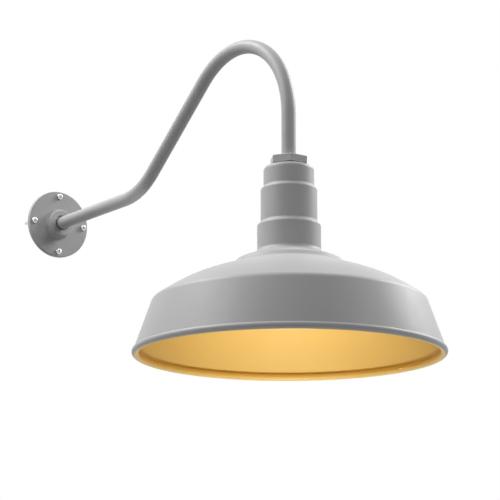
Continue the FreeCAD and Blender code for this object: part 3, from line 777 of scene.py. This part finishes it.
def neck_clamp():
    """The washer and nut that pull the shade up under the hub."""
    edge, foot, top = 20, -40.0, -39
    corners = [(SPIGOT_HOLE, foot), (edge, foot, 0.3), (edge, top, 0.3), (SPIGOT_HOLE, top)]
    washer = solid(turned(rounded(corners, closed=True), MEDIUM), closed=True)
    piece("neck_washer", ["shade_lock_washer"], washer, [ZINC])
    nut = solid(nut_rows(20.8, bore=14.05, heights=(-46.8, foot)), closed=True)
    piece("neck_nut", ["shade_lock_nut"], nut, [ZINC])


# ---- shade

SHEET = 1.5
BEAD_RADIUS = 4.6
BEAD_STEPS = 60
# degrees round the bead, 0 outwards and 90 up: where the sheet's two sides join it, where its curl
# ends, and where the grey paint meets the yellow
BEAD_OUTER, BEAD_INNER, BEAD_END = 70.0, 82.3, 102.3
PAINT_LINE = -80.0


def shade():
    """A spun shade in one sheet, grey outside and yellow inside, the two meeting under the bead."""
    top, neck = NECK_TOP, 33.3
    middle, lower = neck + 3.85, neck + 8.46
    knee = RIM_RADIUS - 25.1
    bead = (RIM_RADIUS - BEAD_RADIUS, top - 248.16)
    outside = [
        (SPIGOT_HOLE, top),
        (neck, top, 6.0),
        (neck, top - 27.4, 3.2),
        (middle, top - 31.25, 3.2),
        (middle, top - 75.2, 3.2),
        (lower, top - 79.81, 3.2),
        (lower, top - 115.9, 7.0),
        (lower + 26.74, top - 126.5, 5.5),
        (lower + 32.74, top - 133.4, 9.0),
        (knee - 42.4, top - 154.0, 220.0),
        (knee, top - 180.7, 12.0),
        tuple(circle_arc(bead, BEAD_RADIUS, BEAD_OUTER, BEAD_OUTER, 1)[0]),
    ]
    fine_step = math.radians(6)
    grey_line = rounded(outside, step=fine_step)[:-1]
    turned_round = BEAD_OUTER - BEAD_END + 360
    outer_bead = circle_arc(bead, BEAD_RADIUS, BEAD_OUTER, BEAD_END - 360, BEAD_STEPS)
    inner_bead = circle_arc(bead, BEAD_RADIUS - SHEET, BEAD_END - 360, BEAD_INNER, BEAD_STEPS)
    back = [(*inner_bead[-1],), *inner_line(outside, SHEET)[::-1], (SPIGOT_HOLE, top - SHEET)]
    yellow_line = rounded(back, step=fine_step)[1:]
    profile = grey_line + outer_bead + inner_bead + yellow_line
    meeting = len(grey_line) + round(BEAD_STEPS * (BEAD_OUTER - PAINT_LINE) / turned_round)
    paints = [0 if i < meeting or i == len(profile) - 1 else 1 for i in range(len(profile))]
    made = solid(turned(profile, FINE), closed=True, paints=paints)
    piece("spun_shade", ["shade"], made, [GREY, YELLOW])


# ---- nipple, bracket and lampholder

NIPPLE_RADIUS = 6.5
STRAP_TOP = -68.0
SCREW_PLACE = 17.247
RIVET_PLACES = (4.9, -9.894)
HOLDER_TOP, RECESS_FLOOR, WEB_FLOOR, HOLDER_BOTTOM = -69.6, -83.6, -89.6, -130.0


def socket_nipple():
    """A hollow nipple, threaded from end to end."""
    low, high = -75.0, -36.6
    bore, bore_edge, end_edge = 4.8, 5.1, 5.9
    rows = turned([(bore, low + 0.4), (bore_edge, low), (end_edge, low)], SMALL)
    rows += thread(SMALL, NIPPLE_RADIUS, depth=0.5, pitch=1.2, heights=(low + 0.5, high - 0.5))
    rows += turned([(end_edge, high), (bore_edge, high), (bore, high - 0.4)], SMALL)
    piece("nipple", ["socket_nipple"], solid(rows, closed=True), [ZINC])


def nipple_bushing():
    """A bushing that lines the nipple's lower end."""
    hole, sleeve, lip, lip_top, top = 3.9, 4.7, -76.2, -75, -68
    corners = [
        (hole, lip, 0.4),
        (NIPPLE_RADIUS, lip, 0.4),
        (NIPPLE_RADIUS, lip_top, 0.2),
        (sleeve, lip_top),
        (sleeve, top),
        (hole, top, 0.2),
    ]
    bushing = solid(turned(rounded(corners, closed=True), SMALL), closed=True)
    piece("nipple_end_bushing", ["nipple_bushing"], bushing, [NYLON])


def socket_bracket():
    """A flat strap with rounded ends, drilled for nipple and screws."""
    long, wide, low, high = 24.0, 7.5, HOLDER_TOP, STRAP_TOP
    corner, bevel, screw_hole = 6, 0.25, 2.15
    levels = ((0, low), (bevel, low), (0, low + bevel), (0, high - bevel), (bevel, high), (0, high))
    rows = []
    for i, (inset, height) in enumerate(levels):
        u, v = long - inset, wide - inset
        ends = [(-u, -v, corner), (u, -v, corner), (u, v, corner), (-u, v, corner)]
        edge = rounded(ends, closed=True)
        share = 0 if i in (0, len(levels) - 1) else 1
        row = [SHADE_AXIS + Vector((p.x * share, p.y * share, height)) for p in edge]
        rows.append([*row, row[0]])
    through = (low - 1, high + 1)
    drills = [drill(NIPPLE_HOLE, through, SHADE_AXIS)]
    for side in (-1, 1):
        drills.append(drill(screw_hole, through, SHADE_AXIS + X_WAY * SCREW_PLACE * side))
    piece("bracket_strap", ["socket_bracket"], carve(solid(rows), drills), [ZINC])


def bracket_nuts():
    """A nut under the strap and one on it."""
    below, above = (-73.4, HOLDER_TOP), (STRAP_TOP, -64.2)
    nuts = [solid(nut_rows(10.9, NIPPLE_HOLE, span), closed=True) for span in (below, above)]
    piece("strap_nuts", ["bracket_nuts"], merged(nuts), [ZINC])


def bracket_screws():
    """Two slotted screws through the strap into the lampholder."""
    head, neck, point, top, end = 3.6, 1.5, 1.3, -65.7, -80.4
    cap = rounded([(0, top), (head, top, 1.38), (head, STRAP_TOP, 0.2), (neck, STRAP_TOP)])
    rows = turned(cap, SMALL, ORIGIN)
    crests = (STRAP_TOP - 0.2, end + 0.5)
    rows += thread(SMALL, 1.9, depth=0.33, pitch=0.8, heights=crests, place=ORIGIN)
    rows += turned([(point, end), (0, end)], SMALL, ORIGIN)
    screw = carve(solid(rows), [slot_cutter((top - 1.1, top + 2))])
    places = []
    for side, turn in ((1, 35), (-1, 110)):
        places.append((SHADE_AXIS + X_WAY * SCREW_PLACE * side, turn, Z_WAY))
    piece("strap_screws", ["bracket_screws"], copies(screw, places), [ZINC])


def lampholder_body():
    """A glazed ceramic holder with soft edges, a seam round it, and holes for screws and rivets."""
    outside, recess, cavity = 22.0, 12.494, 13.75
    seam, seam_floor = -88.0, 21.2
    screw_hole, screw_reach = 2.0, (-81.6, -60)
    rivet_hole, rivet_reach = 1.5, (-95, -78)
    corners = [
        (0, RECESS_FLOOR),
        (recess, RECESS_FLOOR, 0.8),
        (recess, HOLDER_TOP, 1.0),
        (outside, HOLDER_TOP, 2.0),
        (outside, seam + 0.6, 0.3),
        (seam_floor, seam + 0.2),
        (seam_floor, seam - 0.2),
        (outside, seam - 0.6, 0.3),
        (outside, HOLDER_BOTTOM, 2.0),
        (cavity, HOLDER_BOTTOM, 1.2),
        (cavity, WEB_FLOOR),
        (0, WEB_FLOOR),
    ]
    ceramic = solid(turned(rounded(corners), FINE))
    drills = []
    for side in (-1, 1):
        drills.append(drill(screw_hole, screw_reach, SHADE_AXIS + X_WAY * SCREW_PLACE * side))
    for x in RIVET_PLACES:
        drills.append(drill(rivet_hole, rivet_reach, SHADE_AXIS + X_WAY * x))
    piece("ceramic_holder", ["lampholder_body"], carve(ceramic, drills), [CERAMIC])


def screw_shell():
    """A drawn shell with a rolled thread for the lamp's cap, on a narrower neck."""
    sheet, floor_hole, neck = 0.4, 7.594, 12.2
    upper, rim = -94.4, -117.6
    bore, depth, pitch, run_out = 13.25, 0.7, 3.6, 1.5
    outer = [(floor_hole, WEB_FLOOR), (neck + sheet, WEB_FLOOR, 0.8), (neck + sheet, upper)]
    rows = turned(rounded(outer))
    ends = (upper, rim)
    rows += thread(MEDIUM, bore + sheet, depth, pitch, ends, form=ROLLED_FORM, fade=run_out)
    rows += thread(MEDIUM, bore, depth, pitch, ends, form=ROLLED_FORM, fade=run_out)[::-1]
    inner = [(neck, upper + sheet), (neck, WEB_FLOOR - sheet, 0.5), (floor_hole, WEB_FLOOR - sheet)]
    rows += turned(rounded(inner))
    piece("threaded_shell", ["screw_shell"], solid(rows, closed=True), [SHELL_METAL])


def terminal_rivets():
    """Two rivets through the lampholder's web."""
    head, shank, top = 2.1, 1.4, RECESS_FLOOR + 2.2
    corners = [
        (0, top),
        (head, top, 1.32),
        (head, RECESS_FLOOR),
        (shank, RECESS_FLOOR),
        (shank, WEB_FLOOR),
    ]
    rivet = solid(turned([*rounded(corners), (0, WEB_FLOOR)], SMALL, ORIGIN))
    places = [(SHADE_AXIS + X_WAY * x, 0, Z_WAY) for x in RIVET_PLACES]
    piece("rivets", ["terminal_rivets"], copies(rivet, places), [BRASS])


def centre_contact():
    """A sprung leaf, bent down from its root to a raised tip that tapers to a round end."""
    line = rounded(
        [(6.4, -90.25), (3.2, -90.75, 4), (-1.6, -92.95, 3), (-2.9, -93.3, 1.2), (-4.2, -92.95)],
        step=math.radians(3),
    )
    root_parts = 4
    line = [line[0].lerp(line[1], i / root_parts) for i in range(root_parts)] + line[1:]
    thick, edge = 0.5, 0.12
    half_width, taper, round_from = 3.5, 0.9, 0.8
    rows = []
    for i, p in enumerate(line):
        way = (line[min(i + 1, len(line) - 1)] - line[max(i - 1, 0)]).normalized()
        up = Vector((-way.y, way.x))
        past = (line[0].x - p.x) / (line[0].x - line[-1].x)
        wide = half_width - taper * past
        if past > round_from:
            wide *= math.sqrt(max(0.0, 1 - ((past - round_from) / 0.2) ** 2)) * 0.75 + 0.25
        low, high = -thick / 2, thick / 2
        flat = wide - edge
        under = [(-flat, low), (flat, low), (wide, low + edge)]
        over = [(wide, high - edge), (flat, high), (-flat, high), (-wide, high - edge)]
        section = [*under, *over, (-wide, low + edge)]
        row = []
        for across, lift in [*section, section[0]]:
            place = p + up * lift
            row.append(SHADE_AXIS + Vector((place.x, across, place.y)))
        rows.append(row)
    piece("contact_leaf", ["centre_contact"], solid(capped(rows)), [BRASS], body="contact")


# ---- stage, light and camera

FLOOR_LEVEL, FLOOR_SIDE = -1.6, 60.0
FLOOR_GREY, FLOOR_ROUGHNESS, FLOOR_SPECULAR, FLOOR_GLOW = 0.4, 0.9, 0.2, 0.92
CAMERA_YAW = 0.63185
CAMERA_PITCH = 0.22377
CAMERA_PLACE = Vector((-1.51247, -2.57647, -0.71633))
CAMERA_FOCUS = 1962.0
PHOTO_SIDE = 500
SENSOR = 36.0
AMBIENT = 0.02
TARGET = Vector((0, -0.45, -0.1))
# the part of the shade's inside that shows in the photo
MOUTH = Vector((0.07, SHADE_AXIS.y * MM + 0.09, -0.22))

# each: degrees to the right of the camera, degrees up, metres from its target, metres wide, watts
LAMPS = {
    "back_right": (120, 35, 2.5, 1.0, 53),
    "back_left": (-102, 52, 2.5, 1.0, 55),
    "front_left": (-60, 35, 2.5, 1.0, 25),
    "front_right": (60, 35, 2.5, 1.0, 18),
}
MOUTH_LAMP = (0, -60, 1.5, 0.2, 0.31)
MOUTH_SPREAD = 20


def shows_white(tree):
    """A socket that is 1 for rays from the camera, from a reflection and through glass."""
    rays = tree.nodes.new("ShaderNodeLightPath")
    seen = rays.outputs["Is Camera Ray"]
    for kind in ("Is Glossy Ray", "Is Transmission Ray"):
        either = tree.nodes.new("ShaderNodeMath")
        either.operation = "MAXIMUM"
        tree.links.new(seen, either.inputs[0])
        tree.links.new(rays.outputs[kind], either.inputs[1])
        seen = either.outputs[0]
    return seen


def floor():
    """A pale floor that keeps shadows, nearly as bright as the background, and clear from below."""
    bpy.ops.mesh.primitive_plane_add(size=FLOOR_SIDE, location=(0, SHADE_AXIS.y * MM, FLOOR_LEVEL))
    plane = bpy.context.object
    plane.name = "floor"
    material, tree, shader = new_material("pale_floor", specular=FLOOR_SPECULAR)
    nodes, links = tree.nodes, tree.links
    shader.inputs["Base Color"].default_value = (FLOOR_GREY, FLOOR_GREY, FLOOR_GREY, 1)
    shader.inputs["Roughness"].default_value = FLOOR_ROUGHNESS
    links.new(shows_white(tree), shader.inputs["Emission Strength"])
    shader.inputs["Emission Color"].default_value = (FLOOR_GLOW, FLOOR_GLOW, FLOOR_GLOW, 1)
    clear = nodes.new("ShaderNodeBsdfTransparent")
    side = nodes.new("ShaderNodeNewGeometry")
    mix = nodes.new("ShaderNodeMixShader")
    links.new(side.outputs["Backfacing"], mix.inputs["Fac"])
    links.new(shader.outputs["BSDF"], mix.inputs[1])
    links.new(clear.outputs["BSDF"], mix.inputs[2])
    links.new(mix.outputs["Shader"], nodes["Material Output"].inputs["Surface"])
    material.cycles.emission_sampling = "NONE"
    plane.data.materials.append(material)


def world():
    """White for the camera and for reflections, and a faint even light on everything else."""
    studio = bpy.data.worlds.new("studio")
    bpy.context.scene.world = studio
    studio.use_nodes = True
    tree = studio.node_tree
    nodes, links = tree.nodes, tree.links
    ambient = nodes["Background"]
    ambient.inputs["Color"].default_value = (1, 1, 1, 1)
    ambient.inputs["Strength"].default_value = AMBIENT
    white = nodes.new("ShaderNodeBackground")
    white.inputs["Color"].default_value = (1, 1, 1, 1)
    white.inputs["Strength"].default_value = 1.0
    mix = nodes.new("ShaderNodeMixShader")
    links.new(shows_white(tree), mix.inputs["Fac"])
    links.new(ambient.outputs["Background"], mix.inputs[1])
    links.new(white.outputs["Background"], mix.inputs[2])
    links.new(mix.outputs["Shader"], nodes["World Output"].inputs["Surface"])


def soft_box(name, target, turn, rise, distance, side, power, spread=180):
    """A square lamp that faces its target and isn't seen itself."""
    heading, tilt = CAMERA_YAW - math.radians(turn), math.radians(rise)
    level = math.cos(tilt)
    way = Vector((-math.sin(heading) * level, -math.cos(heading) * level, math.sin(tilt)))
    light = bpy.data.lights.new(name, "AREA")
    light.shape = "SQUARE"
    light.size = side
    light.energy = power
    light.spread = math.radians(spread)
    lamp = bpy.data.objects.new(name, light)
    bpy.context.scene.collection.objects.link(lamp)
    lamp.location = target + way * distance
    lamp.rotation_euler = way.to_track_quat("Z", "Y").to_euler()
    lamp.visible_camera = False


def lamps():
    """Four soft boxes round the object and a faint one into the shade."""
    for name, values in LAMPS.items():
        soft_box(name, TARGET, *values)
    soft_box("into_the_mouth", MOUTH, *MOUTH_LAMP, spread=MOUTH_SPREAD)


def camera():
    """The photo's camera, from below and to the left."""
    data = bpy.data.cameras.new("photo_camera")
    data.sensor_width = SENSOR
    data.lens = SENSOR * CAMERA_FOCUS / PHOTO_SIDE
    cam = bpy.data.objects.new("photo_camera", data)
    bpy.context.scene.collection.objects.link(cam)
    cam.location = CAMERA_PLACE
    cam.rotation_euler = (math.pi / 2 + CAMERA_PITCH, 0, -CAMERA_YAW)
    bpy.context.scene.camera = cam


wall_flange()
mounting_screws()
arm_lock_washer()
arm_jam_nut()
ground_screw()
wall_bushing()
gooseneck_arm()
lead("lead_black", side=1, rivet_place=7.0, finish=BLACK_SLEEVE)
lead("lead_white", side=-1, rivet_place=11.99, finish=WHITE_SLEEVE)
hex_hub()
hub_gasket()
neck_clamp()
shade()
socket_nipple()
nipple_bushing()
socket_bracket()
bracket_nuts()
bracket_screws()
lampholder_body()
screw_shell()
terminal_rivets()
centre_contact()
floor()
world()
lamps()
camera()
bpy.context.scene.view_settings.view_transform = "Standard"
